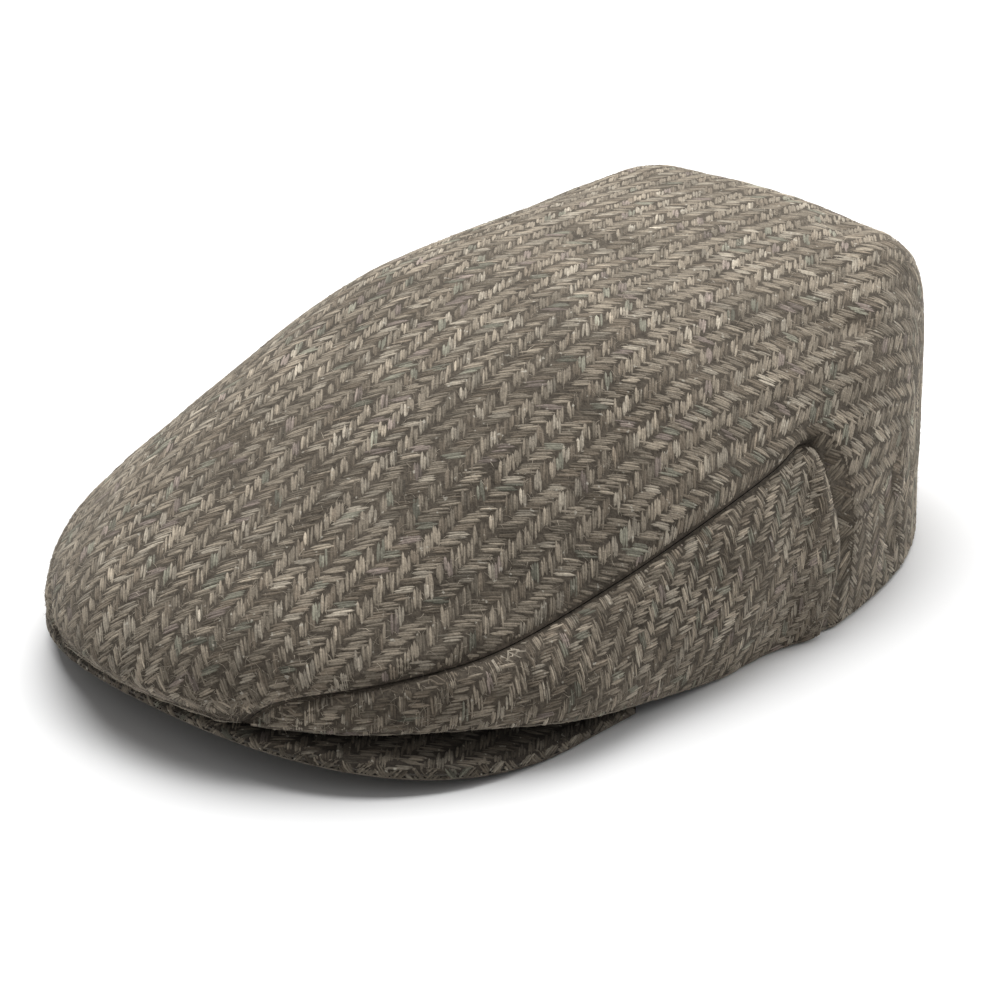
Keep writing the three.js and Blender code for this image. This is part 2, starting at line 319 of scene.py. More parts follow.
def side_point(s, w):
    """The left side panel: w runs from 0 at the seam to 1 at the foot."""
    r = along_table(SECTIONS, s)
    seam = np.stack([r[..., 2], r[..., 3], r[..., 4]], -1)
    foot = np.stack([r[..., 7], r[..., 8], np.maximum(0, r[..., 9])], -1)
    reach = SIDE_BULGE * np.linalg.norm(foot - seam, axis=-1, keepdims=True)
    outward = unit(np.stack([foot[..., 0] / OPENING_X**2, foot[..., 1] / OPENING_Y**2, 0 * s], -1))
    lean = np.radians(r[..., 10, None])
    turn = np.radians(r[..., 11, None])
    up = np.array([0, 0, 1.0])
    ahead = np.array([0, 1.0, 0]) * r[..., 12, None]
    leave = unit(outward * np.cos(lean) - up * np.sin(lean) - ahead)
    arrive = -outward * np.sin(turn) - up * np.cos(turn)
    a = seam + leave * reach
    b = foot - arrive * reach
    w = w[..., None]
    curve = seam * (1 - w) ** 3 + 3 * a * w * (1 - w) ** 2 + 3 * b * w**2 * (1 - w) + foot * w**3
    return curve - np.array([0, MIDDLE_Y, 0])


def tangents(point, s, t, low, high):
    """Directions of a panel along its sections and across them."""
    step = 0.01
    s0, s1 = np.maximum(0, s - step), np.minimum(LAST, s + step)
    t0, t1 = np.maximum(low, t - step), np.minimum(high, t + step)
    along = (point(s1, t) - point(s0, t)) / (s1 - s0)[..., None]
    across = (point(s, t1) - point(s, t0)) / (t1 - t0)[..., None]
    return along, across


def normals(point, s, t, low, high):
    along, across = tangents(point, s, t, low, high)
    return unit(np.cross(across, along))


def seam_normals(s):
    """The direction both panels share along their seam, averaged over a stretch of it."""
    total = np.zeros(s.shape + (3,))
    for k in SEAM_STRETCH:
        near = np.clip(s + k, SEAM_END, LAST - SEAM_END)
        total += normals(top_point, near, np.ones_like(near), -1, 1)
        total += normals(side_point, near, np.full_like(near, BELOW_SEAM), 0, 1)
    return unit(total)


def smoothed(field):
    """Directions averaged with their neighbours in a grid."""
    for _ in range(SMOOTHING):
        total = 2 * field
        total[1:] += field[:-1]
        total[:-1] += field[1:]
        total[:, 1:] += field[:, :-1]
        total[:, :-1] += field[:, 1:]
        field = unit(total)
    return field


def resampled(grid, rows, cols):
    """A grid at more places, on smooth curves through its own."""
    n, m = grid.shape[:2]
    tall = along_table(grid.reshape(n, -1), np.linspace(0, n - 1, rows)).reshape(rows, m, 3)
    turned = tall.transpose(1, 0, 2).reshape(m, -1)
    return along_table(turned, np.linspace(0, m - 1, cols)).reshape(cols, rows, 3).transpose(1, 0, 2)


def grid_normals(grid):
    return unit(np.cross(np.gradient(grid, axis=1), np.gradient(grid, axis=0)))


def edge_distance(grid):
    """Distance of each point from the nearer end of its row."""
    to_first = np.linalg.norm(grid - grid[:, :1], axis=-1)
    to_last = np.linalg.norm(grid - grid[:, -1:], axis=-1)
    return np.minimum(to_first, to_last)


def eased(grid, reach):
    """Evens out the creases inside a grid over a distance in mm; its long edges stay."""
    points = grid.reshape(-1, 3)
    area = np.linalg.norm(np.cross(np.gradient(grid, axis=0), np.gradient(grid, axis=1)), axis=-1).ravel()
    square = (points * points).sum(-1)
    apart = square[:, None] + square[None] - 2 * points @ points.T
    weight = np.exp(-apart / (2 * reach * reach)) * area
    mean = (weight @ points / weight.sum(1, keepdims=True)).reshape(grid.shape)
    share = np.clip(edge_distance(grid) / (2 * reach), 0, 1)
    return grid + (mean - grid) * share[..., None]


def flattened(n):
    """Directions turned level."""
    return unit(n * np.array([1, 1, 0]))


def bilinear(grid, i, j):
    """Values of a grid at fractional rows and columns; nan outside it."""
    rows, cols = grid.shape[:2]
    inside = (i >= 0) & (j >= 0) & (i <= rows - 1) & (j <= cols - 1)
    i = np.where(inside, i, 0)
    j = np.where(inside, j, 0)
    a = np.minimum(i.astype(int), rows - 2)
    b = np.minimum(j.astype(int), cols - 2)
    f = (i - a)[..., None]
    g = (j - b)[..., None]
    low = grid[a, b] * (1 - g) + grid[a, b + 1] * g
    high = grid[a + 1, b] * (1 - g) + grid[a + 1, b + 1] * g
    out = low * (1 - f) + high * f
    return np.where(inside[..., None], out, np.nan)


def cloudy(x, y):
    """Smooth noise from -1 to 1 with patches about one unit wide."""
    i = np.floor(x).astype(int)
    j = np.floor(y).astype(int)
    f = x - i
    g = y - j
    f = f * f * (3 - 2 * f)
    g = g * g * (3 - 2 * g)
    i0, i1 = i % LATTICE_SIZE, (i + 1) % LATTICE_SIZE
    j0, j1 = j % LATTICE_SIZE, (j + 1) % LATTICE_SIZE
    a, b, c, d = LATTICE[i0, j0], LATTICE[i1, j0], LATTICE[i0, j1], LATTICE[i1, j1]
    return (a * (1 - f) + b * f) * (1 - g) + (c * (1 - f) + d * f) * g


def clouds(layers, x, y):
    """Layers of smooth noise, added up."""
    return sum(k * cloudy(x * a + b, y * c + d) for k, a, b, c, d in layers)


def fold_lift(points):
    """Height of the top panel's puffs and dents at each point."""
    lift = np.zeros(points.shape[:-1])
    for section, across, long, wide, turn, height in FOLDS:
        s = np.array([section])
        v = np.array([across])
        middle = top_point(s, v)[0]
        normal = normals(top_point, s, v, -1, 1)[0]
        ahead = unit(top_point(np.minimum(LAST, s + 0.05), v)[0] - middle)
        beside = np.cross(normal, ahead)
        away = points - middle
        angle = math.radians(turn)
        y = away @ ahead
        x = away @ beside
        on = (y * math.cos(angle) + x * math.sin(angle)) / long
        over = (x * math.cos(angle) - y * math.sin(angle)) / wide
        depth = away @ normal / (long + wide)
        lift += height * np.exp(-2 * (on**2 + over**2 + depth**2))
    return lift


def seam_shape(distance):
    """Height of the cloth beside a seam: a groove with a low ridge next to it."""
    groove = -SEAM_ROLL * np.exp(-distance / SEAM_ROLL_REACH)
    ridge = SEAM_RIDGE * np.exp(-(((distance - SEAM_RIDGE_AT) / SEAM_RIDGE_WIDTH) ** 2))
    return groove + ridge


def drawn_in(outer, inner, edge, neighbour):
    """Shortens the cloth along a folded row by the fold's radius, so the fold ends where the edge was."""
    inward = unit(outer[neighbour] - outer[edge])
    distance = np.linalg.norm(outer - outer[edge], axis=-1)
    step = inward * (WALL / 2 * np.clip(1 - distance / HEM_BLEND, 0, 1))[..., None]
    outer += step
    inner += step


def pulled_back(grid, edge, neighbour):
    """Moves an edge back by half of the seam's gap."""
    step = unit(grid[:, neighbour] - grid[:, edge])
    grid[:, edge] += step * SEAM_GAP / 2


def crowded(e):
    """Places across the top panel, set closer together towards the seams."""
    return e * (1 + SEAM_CROWDING * (1 - e * e))


def top_panel(rows, cols):
    """Outer and inner grids of the top panel."""
    s, e = np.meshgrid(np.linspace(0, LAST, COARSE_ROWS), np.linspace(-1, 1, TOP_COARSE_COLS), indexing="ij")
    directions = smoothed(normals(top_point, s, crowded(e), -1, 1))
    seam = seam_normals(s[:, 0])
    directions[:, -1] = seam
    directions[:, 0] = seam * np.array([-1, 1, 1])
    directions[0] = flattened(directions[0])
    directions[-1] = flattened(directions[-1])
    directions = unit(resampled(directions, rows, cols))
    s, e = np.meshgrid(np.linspace(0, LAST, rows), np.linspace(-1, 1, cols), indexing="ij")
    points = top_point(s, crowded(e))
    distance = edge_distance(points)
    clear = 1 - np.exp(-((distance / CLEAR_OF_SEAM) ** 2))
    clear *= np.clip(np.minimum(s, LAST - s) / FOLD_END, 0, 1)
    soft = clouds(TOP_UNEVEN, s, e)
    behind = np.clip((s - BACK_SEAM_FROM) / BACK_SEAM_BLEND, 0, 1)
    groove = 1 + BACK_SEAM_GAIN * behind * np.clip((LAST - s) / BACK_SEAM_END, 0, 1)
    lift = (FOLD_GAIN * fold_lift(points) + soft) * clear + seam_shape(distance) * groove
    outer = points + directions * lift[..., None]
    inner = outer - directions * WALL
    for grid in (outer, inner):
        pulled_back(grid, 0, 1)
        pulled_back(grid, -1, -2)
    drawn_in(outer, inner, 0, 1)
    drawn_in(outer, inner, -1, -2)
    return outer, inner


def side_panel(rows, cols):
    """Outer and inner grids of the left side panel."""
    sections = np.linspace(SIDE_FIRST, LAST - SIDE_FIRST, COARSE_ROWS)
    s, w = np.meshgrid(sections, np.linspace(0, 1, SIDE_COARSE_COLS), indexing="ij")
    directions = smoothed(normals(side_point, s, w, 0, 1))
    directions[:, 0] = seam_normals(s[:, 0])
    directions[:, -1] = flattened(directions[:, -1])
    directions = unit(resampled(directions, rows, cols))
    sections = np.linspace(SIDE_FIRST, LAST - SIDE_FIRST, rows)
    s, w = np.meshgrid(sections, np.linspace(0, 1, cols), indexing="ij")
    points = eased(side_point(s, w), SIDE_EASING)
    distance = np.linalg.norm(points - points[:, :1], axis=-1)
    size = np.linalg.norm(points[:, -1:] - points[:, :1], axis=-1)
    relief = np.clip(size / SIDE_FULL_HEIGHT, SIDE_LEAST_RELIEF, 1)
    soft = clouds(SIDE_UNEVEN, s, w) * np.clip(distance / SIDE_SOFT_REACH, 0, 1)
    soft = soft * np.clip((1 - w) * SIDE_FOOT_FADE, 0, 1)
    outer = points + directions * (seam_shape(distance) * relief + soft)[..., None]
    from_end = np.minimum(np.arange(rows), rows - 1 - np.arange(rows))
    thin = np.clip(from_end / (rows * SIDE_THIN_SHARE), SIDE_THINNEST, 1)
    inner = outer - directions * (WALL * thin)[:, None, None]
    for grid in (outer, inner):
        pulled_back(grid, 0, 1)
    drawn_in(outer.transpose(1, 0, 2), inner.transpose(1, 0, 2), -1, -2)
    return outer, inner


class Pile:
    """Points and four-cornered faces of one mesh, gathered part by part."""

    def __init__(self):
        self.points = []
        self.faces = []
        self.maps = []
        self.slots = []
        self.count = 0

    def add_points(self, points):
        flat = points.reshape(-1, 3)
        first = self.count
        self.points.append(flat)
        self.count += len(flat)
        return first + np.arange(len(flat)).reshape(points.shape[:-1])

    def add_faces(self, a, b, c, d, corners, slot):
        """Faces from four index arrays, with each corner's place on the flat map."""
        quads = np.stack([a.ravel(), b.ravel(), c.ravel(), d.ravel()], -1)
        self.faces.append(quads)
        self.maps.append(np.stack([m.reshape(-1, 2) for m in corners], 1))
        self.slots.append(np.full(len(quads), slot))


def grid_faces(pile, index, box, slot, flip=False):
    """Faces of a grid of points, laid flat in a box (x0, y0, x1, y1) of the map."""
    rows, cols = index.shape
    x, y = np.meshgrid(np.linspace(box[0], box[2], rows), np.linspace(box[1], box[3], cols), indexing="ij")
    m = np.stack([x, y], -1)
    a, b, c, d = ((slice(None, -1), slice(None, -1)), (slice(None, -1), slice(1, None)),
                  (slice(1, None), slice(1, None)), (slice(1, None), slice(None, -1)))
    order = (a, d, c, b) if flip else (a, b, c, d)
    pile.add_faces(*(index[k] for k in order), [m[k] for k in order], slot)


def placed(name, data):
    """A new object in the scene."""
    obj = bpy.data.objects.new(name, data)
    bpy.context.scene.collection.objects.link(obj)
    return obj


def make_mesh(name, points, faces, maps, slots, materials, colours=None, second=None):
    """A smooth-shaded mesh object from arrays; points are in millimetres."""
    mesh = bpy.data.meshes.new(name)
    mesh.vertices.add(len(points))
    mesh.vertices.foreach_set("co", (points * MM).astype(np.float32).ravel())
    mesh.loops.add(faces.size)
    mesh.loops.foreach_set("vertex_index", faces.astype(np.int32).ravel())
    mesh.polygons.add(len(faces))
    mesh.polygons.foreach_set("loop_start", np.arange(0, faces.size, 4, dtype=np.int32))
    mesh.polygons.foreach_set("material_index", slots.astype(np.int32))
    mesh.polygons.foreach_set("use_smooth", np.ones(len(faces), bool))
    for material in materials:
        mesh.materials.append(material)
    mesh.update(calc_edges=True)
    layer = mesh.uv_layers.new(name="OFBake")
    layer.data.foreach_set("uv", maps.astype(np.float32).ravel())
    if second is not None:
        layer = mesh.uv_layers.new(name="Yarn")
        layer.data.foreach_set("uv", second.astype(np.float32).ravel())
    if colours is not None:
        tint = mesh.color_attributes.new("tint", "FLOAT_COLOR", "POINT")
        rgba = np.ones((len(points), 4), np.float32)
        rgba[:, :3] = colours
        tint.data.foreach_set("color", rgba.ravel())
    return placed(name, mesh)


EDGES = {
    "lip": ((0, slice(None)), (1, slice(None))),
    "left": ((slice(None), -1), (slice(None), -2)),
    "hem": ((-1, slice(None, None, -1)), (-2, slice(None, None, -1))),
    "right": ((slice(None, None, -1), 0), (slice(None, None, -1), 1)),
}


def fold_rings(outer, inner, edge):
    """Rows of points round the fold of an edge, from the outer face to the inner one."""
    at, before = EDGES[edge]
    o, i = outer[at], inner[at]
    middle = (o + i) / 2
    beyond = unit(o - outer[before] + i - inner[before])
    radius = np.linalg.norm(o - i, axis=-1, keepdims=True) / 2
    return [middle + (o - middle) * math.cos(a) + beyond * radius * math.sin(a) for a in FOLD_ANGLES]


def cloth_wall(name, outer, inner, folded, materials):
    """Closes an outer and an inner grid into a cloth wall. folded names the edges with a rounded fold."""
    pile = Pile()
    out_index = pile.add_points(outer)
    in_index = pile.add_points(inner)
    grid_faces(pile, out_index, (MAP_LOW, MAP_LOW, MAP_HIGH, MAP_OUTER_TOP), 0)
    grid_faces(pile, in_index, (MAP_LOW, MAP_INNER, MAP_HIGH, MAP_HIGH), 1, flip=True)
    for k, (edge, (at, _)) in enumerate(EDGES.items()):
        rings = fold_rings(outer, inner, edge) if edge in folded else []
        levels = [out_index[at], *(pile.add_points(ring) for ring in rings), in_index[at]]
        index = np.stack(levels)[:, ::-1]
        low = MAP_EDGES + MAP_EDGE_STEP * k
        grid_faces(pile, index.T, (MAP_LOW, low, MAP_HIGH, low + MAP_EDGE_HEIGHT), 2)
    return make_mesh(name, np.concatenate(pile.points), np.concatenate(pile.faces),
                     np.concatenate(pile.maps), np.concatenate(pile.slots), materials)


def walked(point, s, t, heading, steps, step, low, high):
    """Straight lines over a panel: their places, as (steps + 1, lines, 2), and nan once they leave it."""
    s, t, d = s.copy(), t.copy(), heading.copy()
    out = np.full((steps + 1, len(s), 2), np.nan)
    out[0] = np.stack([s, t], -1)
    on = np.ones(len(s), bool)
    for k in range(steps):
        along, across = tangents(point, s, t, low, high)
        n = unit(np.cross(across, along))
        d = unit(d - (d * n).sum(-1, keepdims=True) * n)
        a, b, c = (along * along).sum(-1), (along * across).sum(-1), (across * across).sum(-1)
        e, f = (along * d).sum(-1), (across * d).sum(-1)
        det = a * c - b * b
        s2 = s + step * (c * e - b * f) / det
        t2 = t + step * (a * f - b * e) / det
        on &= (s2 >= 0) & (s2 <= LAST) & (t2 >= low) & (t2 <= high)
        s, t = np.where(on, s2, s), np.where(on, t2, t)
        out[k + 1, on] = np.stack([s, t], -1)[on]
    return out


def running_length(line):
    return np.concatenate([[0], np.cumsum(np.linalg.norm(np.diff(line, axis=0), axis=1))])


def top_grain():
    """Places on the top panel over its straight grain: rows along the middle line, columns across."""
    s = np.linspace(0, LAST, GRAIN_SAMPLES)
    length = running_length(top_point(s, 0 * s))
    start = np.interp(np.arange(0, length[-1], GRAIN_STEP), length, s)
    heading = np.tile([1.0, 0, 0], (len(start), 1))
    half = walked(top_point, start, 0 * start, heading, GRAIN_STEPS, GRAIN_STEP, -1, 1)
    other = half[:0:-1] * np.array([1, -1])
    return np.concatenate([other, half]).transpose(1, 0, 2), length[-1]


def relaxed(grid, flat, rounds):
    """Moves a flat layout of a grid until neighbours are as far apart as on the cloth."""
    every, first, last = slice(None), slice(None, -1), slice(1, None)
    pairs = (((first, every), (last, every)), ((every, first), (every, last)),
             ((first, first), (last, last)), ((first, last), (last, first)))
    lengths = [np.linalg.norm(grid[a] - grid[b], axis=-1) for a, b in pairs]
    flat = flat.copy()
    for _ in range(rounds):
        push = np.zeros_like(flat)
        for (a, b), length in zip(pairs, lengths):
            gap = flat[b] - flat[a]
            now = np.maximum(np.linalg.norm(gap, axis=-1), 1e-9)
            move = gap * ((now - length) / now / 2)[..., None]
            push[a] += move
            push[b] -= move
        flat += push / 4
    return flat


class FlatPanel:
    """Cloth laid flat: finds the place on a grid that belongs to a spot of the flat cloth."""

    def __init__(self, grid, flat):
        rows, cols = grid.shape[:2]
        index = np.arange(rows * cols).reshape(rows, cols)
        a, b, c, d = index[:-1, :-1], index[:-1, 1:], index[1:, 1:], index[1:, :-1]
        halves = [np.stack(three, -1).reshape(-1, 3) for three in ((a, b, c), (a, c, d))]
        self.corners = np.concatenate(halves)
        self.flat = flat.reshape(-1, 2)
        self.at = np.stack(np.meshgrid(np.arange(rows), np.arange(cols), indexing="ij"), -1).reshape(-1, 2)
        raised = np.concatenate([self.flat, np.zeros((len(self.flat), 1))], 1)
        self.tree = BVHTree.FromPolygons(raised.tolist(), self.corners.tolist())
        self.grid = grid
        self.normal = grid_normals(grid)

    def place(self, cloth):
        """Rows and columns of the grid for spots of the flat cloth; nan beyond it."""
        spots = cloth.reshape(-1, 2)
        out = np.full((len(spots), 2), np.nan)
        down = Vector((0, 0, -1))
        for k, (x, y) in enumerate(spots):
            _, _, face, _ = self.tree.ray_cast(Vector((x, y, 1)), down)
            if face is None:
                continue
            a, b, c = self.flat[self.corners[face]]
            p, q, r = self.at[self.corners[face]]
            area = (b[0] - a[0]) * (c[1] - a[1]) - (c[0] - a[0]) * (b[1] - a[1])
            f = ((x - a[0]) * (c[1] - a[1]) - (c[0] - a[0]) * (y - a[1])) / area
            g = ((b[0] - a[0]) * (y - a[1]) - (x - a[0]) * (b[1] - a[1])) / area
            out[k] = p + (q - p) * f + (r - p) * g
        return out.reshape(cloth.shape)

    def face(self, i, j):
        """Points and normals of the cloth at rows and columns of the grid."""
        return bilinear(self.grid, i, j), unit(bilinear(self.normal, i, j))


def wall_flat(grid, edge_length):
    """The back wall and its hem laid flat; its edge with the top lies at edge_length from the lip."""
    across = running_length(grid[grid.shape[0] // 2])
    down = np.linalg.norm(np.diff(grid, axis=0), axis=-1)
    down = np.concatenate([np.zeros((1, grid.shape[1])), np.cumsum(down, 0)])
    flat = np.stack([np.broadcast_to(across - across[-1] / 2, down.shape), down + edge_length], -1)
    return FlatPanel(grid, relaxed(grid, flat, WALL_RELAXING))


def side_flat(grid):
    """The left side panel and its fold laid flat, first as the wall of a cylinder and then relaxed."""
    line = grid[:, grid.shape[1] // 2]
    order = np.argsort(line[:, 1])
    length = running_length(line[order] * np.array([1, 1, 0]))
    y = line[order, 1]
    along = np.interp(grid[..., 1], y, length) + np.maximum(0, grid[..., 1] - y[-1])
    along -= np.maximum(0, y[0] - grid[..., 1])
    return FlatPanel(grid, relaxed(grid, np.stack([along, grid[..., 2]], -1), SIDE_RELAXING))


class Strands:
    """Strands of a herringbone in cloth millimetres: centres, half lengths, kinds and colours."""

    def __init__(self, across_range, along_range, turn, scale):
        column, pitch = COLUMN * scale, PITCH * scale
        k = np.arange(math.floor(across_range[0] / column), math.ceil(across_range[1] / column))
        j = np.arange(math.floor(along_range[0] / pitch), math.ceil(along_range[1] / pitch))
        kind = np.arange(len(STRANDS))
        k, j, kind = (x.ravel() for x in np.meshgrid(k, j, kind, indexing="ij"))
        n = len(k)
        sign = np.where(k % 2 == 0, 1.0, -1.0)
        slope = SLOPE * RNG.uniform(*SLOPE_RANGE, n)
        ahead = unit(np.stack([np.ones(n), sign * slope], -1))
        over = unit(np.stack([-sign * slope, np.ones(n)], -1))
        yarns = n // len(STRANDS)
        wander = np.repeat(RNG.normal(0, YARN_WANDER, (yarns, 2)), len(STRANDS), 0)
        slip = LATTICE[k % LATTICE_SIZE, SLIP_LINE] * COLUMN_SLIP
        middle = np.stack([(k + 0.5) * column, j * pitch + slip], -1)
        shift = RNG.normal(0, STRAND_SHIFT, n)[:, None] * ahead
        aside = (STRANDS[kind, 0] * scale + RNG.normal(0, STRAND_ASIDE, n))[:, None] * over
        centre = middle + wander + shift + aside
        half = ahead * (column / 2 * math.hypot(1, SLOPE) * RNG.uniform(*LENGTH_RANGE, n))[:, None]
        c, s = math.cos(math.radians(turn)), math.sin(math.radians(turn))
        turned = np.array([[c, s], [-s, c]])
        self.centre = centre @ turned
        self.half = half @ turned
        self.scale = scale
        self.kind = kind
        self.colour = np.repeat(yarn_tints((middle @ turned)[::len(STRANDS)]), len(STRANDS), 0)
        self.felt = felted(self.centre)
        self.cut = np.zeros((n, 2), bool)

    def keep(self, chosen):
        """Drops the strands that aren't chosen."""
        for key in ("centre", "half", "kind", "colour", "felt", "cut"):
            setattr(self, key, getattr(self, key)[chosen])

    def clip(self, start, end):
        """Shortens each strand to its stretch from start to end, both from -1 to 1."""
        self.cut = np.stack([start > -1, end < 1], -1)
        self.centre = self.centre + self.half * ((start + end) / 2)[:, None]
        self.half = self.half * ((end - start) / 2)[:, None]

    def lines(self):
        """Places along each strand's centreline."""
        return self.centre[:, None] + self.half[:, None] * STRAND_STATIONS[None, :, None]


def felted(place):
    """How far the fuzz of the wool hides the weave at a place, from 0 to FELT_MOST."""
    x, y = place[:, 0], place[:, 1]
    worn = WORN * np.exp(-(((y - WORN_AT) / WORN_REACH) ** 2))
    return np.clip(FELT_BASE + worn + clouds(FELT_CLOUDS, x, y), 0, FELT_MOST)


def yarn_tints(place):
    """A colour for each yarn: a mixture of tones, clouded over the cloth."""
    n = len(place)
    share = np.cumsum([t[0] for t in TONES])
    kind = np.searchsorted(share / share[-1], RNG.random(n))
    colours = np.array([t[1] for t in TONES])[np.minimum(kind, len(TONES) - 1)]
    light = 1 + clouds(TINT_CLOUDS, place[:, 0], place[:, 1]) + RNG.normal(0, TINT_SPREAD, n)
    return colours * light[:, None].clip(*TINT_RANGE)


def strip_mesh(name, points, colours, yarn, material):
    """Many small strips in one mesh, each in its own square of the map."""
    n, m, width = points.shape[:3]
    index = np.arange(n * m * width).reshape(n, m, width)
    a, b = index[:, :-1, :-1], index[:, :-1, 1:]
    d, c = index[:, 1:, :-1], index[:, 1:, 1:]
    quads = np.stack([a.ravel(), b.ravel(), c.ravel(), d.ravel()], -1)
    side = math.ceil(math.sqrt(n))
    k = np.arange(n)[:, None, None]
    x = (k % side) / side + np.linspace(*MAP_SQUARE, m)[None, :, None] / side
    y = (k // side) / side + np.linspace(*MAP_SQUARE, width)[None, None] / side
    bake = np.stack(np.broadcast_arrays(x, y), -1).reshape(-1, 2)
    streaks = FUZZ_STREAK * bake if yarn is None else yarn.reshape(-1, 2)
    return make_mesh(name, points.reshape(-1, 3), quads, bake[quads], np.zeros(len(quads)), [material],
                     colours.reshape(-1, 3), streaks[quads])


def strand_mesh(name, stations, normal, strands, material):
    """Raised strands from their centrelines (strands, stations, 3) and the cloth's normals there."""
    n = len(stations)
    along = unit(np.gradient(stations, axis=1))
    across = np.cross(normal, along)
    width = strands.scale * STRANDS[strands.kind, 1, None, None] * RNG.uniform(*WIDTH_RANGE, (n, 1, 1))
    height = STRANDS[strands.kind, 2, None, None] * RNG.uniform(*HEIGHT_RANGE, (n, 1, 1))
    height = height * (1 - FELT_LOWERS * strands.felt[:, None, None])
    ends = np.tile(STRAND_RISE, (n, 1))
    widths = np.tile(STRAND_SPREAD, (n, 1))
    for k, station in ((0, 0), (1, -1)):
        ends[strands.cut[:, k], station] = CUT_RISE
        widths[strands.cut[:, k], station] = CUT_SPREAD
    spread = STRAND_ACROSS[None, None] * widths[..., None] * width
    rise = (STRAND_ROUND[None, None] + ends[..., None] - 1) * height
    points = stations[:, :, None] + across[:, :, None] * spread[..., None]
    points = points + normal[:, :, None] * rise[..., None]
    points[..., 2] = np.maximum(points[..., 2], LOWEST_STRAND)
    # Painted shade: colour darkens towards the strand's flanks and sunken ends, and is lightened where the
    # wool is felted
    shade = np.clip((rise / height + SHADE_FROM) / (1 + SHADE_FROM), 0, 1) ** SHADE_POWER
    tone = STRANDS[strands.kind, 3] * np.exp(RNG.normal(TONE_LOG_MEAN, TONE_LOG_SPREAD, n))
    tone = MEAN_TONE * (tone / MEAN_TONE) ** (1 - FELT_EVENS * strands.felt)
    tints = strands.colour * tone[:, None]
    edge = EDGE_SHADE + FELT_LIGHTENS * strands.felt[:, None, None, None]
    colours = tints[:, None, None] * (edge + (1 - edge) * shade[..., None])
    length = np.linalg.norm(stations[:, -1] - stations[:, 0], axis=-1)[:, None, None]
    u = STRAND_STATIONS[None, :, None] * length / 2 + RNG.uniform(*STREAK_RANGE, (n, 1, 1))
    v = spread + RNG.uniform(*STREAK_RANGE, (n, 1, 1))
    return strip_mesh(name, points, colours, np.stack(np.broadcast_arrays(u, v), -1), material)


def fuzz_mesh(name, face, s_range, t_range, count, material):
    """Loose fibres: narrow curved ribbons that lie on the cloth and lift a little at one end."""
    s = RNG.uniform(*s_range, count)
    t = RNG.uniform(*t_range, count)
    root, normal = face(s, t)
    fine = np.isfinite(root).all(1) & np.isfinite(normal).all(1)
    root, normal = root[fine], normal[fine]
    n = len(root)
    angle = RNG.uniform(0, 2 * math.pi, n)
    first = unit(np.cross(normal, ANY_DIRECTION))
    second = np.cross(normal, first)
    ahead = first * np.cos(angle)[:, None] + second * np.sin(angle)[:, None]
    aside = np.cross(normal, ahead)
    length = RNG.uniform(*FUZZ_LENGTH, n)[:, None, None]
    bend = RNG.normal(0, FUZZ_BEND, n)[:, None, None]
    lift = RNG.exponential(FUZZ_LIFT, n).clip(0, FUZZ_MOST_LIFT)[:, None, None]
    f = np.linspace(0, 1, FUZZ_STATIONS)[None, :, None]
    low = FUZZ_HEIGHT * np.sin(f * math.pi * FUZZ_ARC + FUZZ_ARC_START)
    line = (root[:, None] + ahead[:, None] * length * f + aside[:, None] * length * bend * f * f
            + normal[:, None] * (low + lift * f * f))
    half = aside[:, None] * (FUZZ_WIDTH / 2 * (1 - FUZZ_TAPER * f))
    points = np.stack([line - half, line + half], 2)
    points[..., 2] = np.maximum(points[..., 2], LOWEST_STRAND)
    tone = np.exp(RNG.normal(0, FUZZ_TONE_SPREAD, n))[:, None] * np.array(FUZZ_COLOUR)
    colours = np.broadcast_to(tone[:, None, None], points.shape)
    return strip_mesh(name, points, colours, None, material)


def trimmed(centre, half, valid):
    """Start and end of each yarn's stretch on the cloth, from -1 to 1, by testing places along it."""
    ok = np.stack([valid(centre + half * t) for t in TRIM_TESTS], 1)
    run = np.zeros(len(ok), int)
    best = np.zeros(len(ok), int)
    end = np.zeros(len(ok), int)
    for k in range(len(TRIM_TESTS)):
        run = np.where(ok[:, k], run + 1, 0)
        better = run > best
        best = np.where(better, run, best)
        end = np.where(better, k, end)
    keep = best >= 2
    return keep, TRIM_TESTS[np.maximum(end - best + 1, 0)], TRIM_TESTS[end]


def face_of(outer, to_row, to_col):
    """A function from places on a panel to points and normals of its cloth."""
    normal = grid_normals(outer)

    def at(s, t):
        i, j = to_row(s), to_col(t)
        return bilinear(outer, i, j), unit(bilinear(normal, i, j))
    return at


def lay_yarns(name, place, face, ranges, turn, material, allowed=None, density=None, scale=1.0):
    """A herringbone on a panel: place turns cloth millimetres into places, face places into points."""
    strands = Strands(*ranges, turn, scale)

    def valid(cloth):
        spot = place(cloth)
        inside = np.isfinite(spot[..., 0])
        return inside if allowed is None else inside & allowed(cloth, spot)
    keep, start, end = trimmed(strands.centre, strands.half, valid)
    if density is not None:
        keep &= RNG.random(len(keep)) < density(strands.centre)
    strands.keep(keep)
    strands.clip(start[keep], end[keep])
    spot = place(strands.lines())
    points, normal = face(spot[..., 0], spot[..., 1])
    whole = np.isfinite(points).all((1, 2)) & np.isfinite(normal).all((1, 2))
    raised = STRANDS[strands.kind, 2] > LOW_STRAND
    made = []
    for label, chosen in (("yarns", whole & raised), ("gaps", whole & ~raised)):
        some = copy.copy(strands)
        some.keep(chosen)
        made.append(strand_mesh(f"{name}_{label}", points[chosen], normal[chosen], some, material))
    return made


def mirrored(obj, name):
    """A copy on the other side of the middle line."""
    mesh = obj.data.copy()
    mesh.name = name
    mesh.transform(Matrix.Diagonal((-1, 1, 1, 1)))
    mesh.flip_normals()
    return placed(name, mesh)


# Materials

